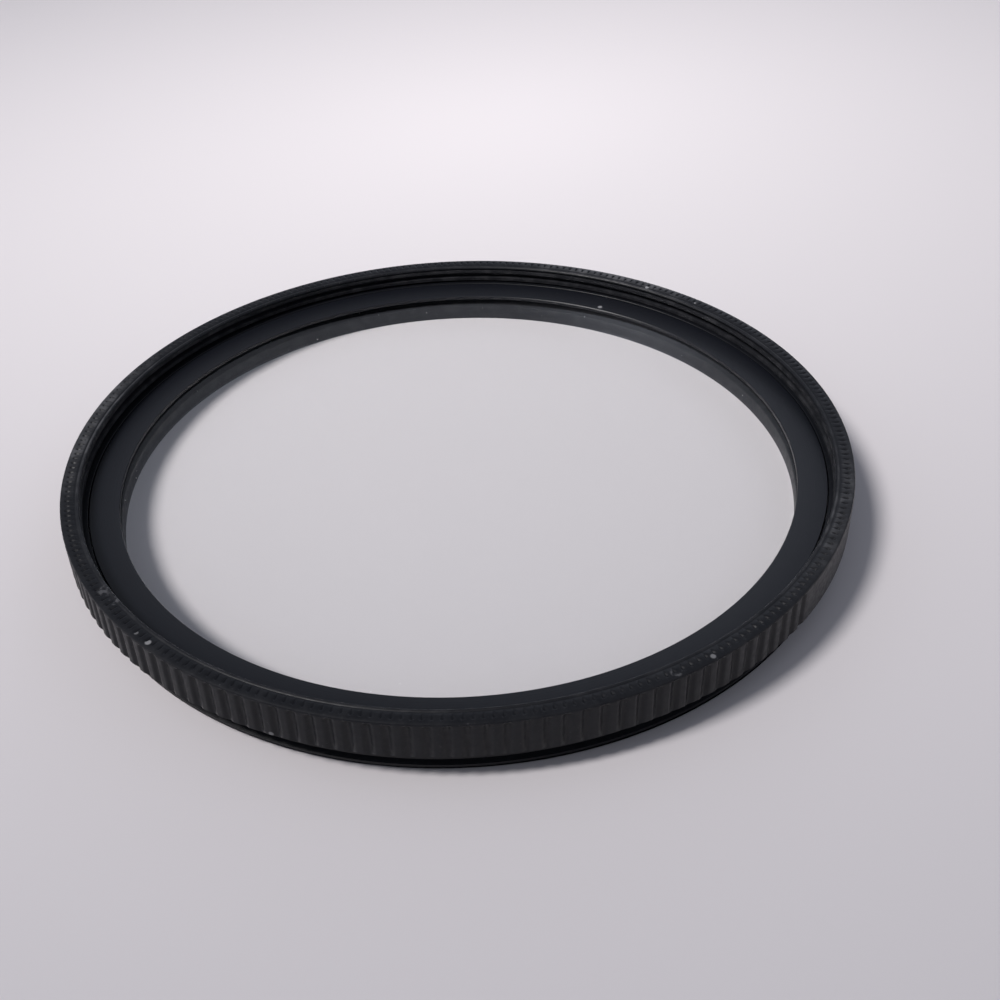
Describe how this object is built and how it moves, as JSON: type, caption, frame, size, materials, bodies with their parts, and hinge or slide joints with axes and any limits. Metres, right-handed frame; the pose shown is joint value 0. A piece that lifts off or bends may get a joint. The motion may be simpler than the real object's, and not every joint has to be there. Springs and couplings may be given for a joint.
{
  "type": "lens filter",
  "caption": "Clear round screw-in lens filter: a black knurled metal ring with a front and a rear thread, a glass disc and the flat ring that retains it.",
  "frame": {"origin": "on the filter's axis, in the end face of the rear thread, which it lies on", "axes": "+Z along the axis from the rear thread to the front thread; +X to the picture's right and +Y to its far side"},
  "size_m": [0.06, 0.06, 0.0052],
  "materials": {
    "anodised_frame": "satin black anodised aluminium, turned and knurled, with edges worn a little brighter",
    "coated_glass": "clear polished optical glass with a faint coating and a few specks of dust",
    "anodised_ring": "matt black anodised aluminium, finely turned"
  },
  "bodies": {
    "root": {"frame": "anodised_frame", "glass": "coated_glass", "retaining_ring": "anodised_ring"}
  },
  "joints": []
}
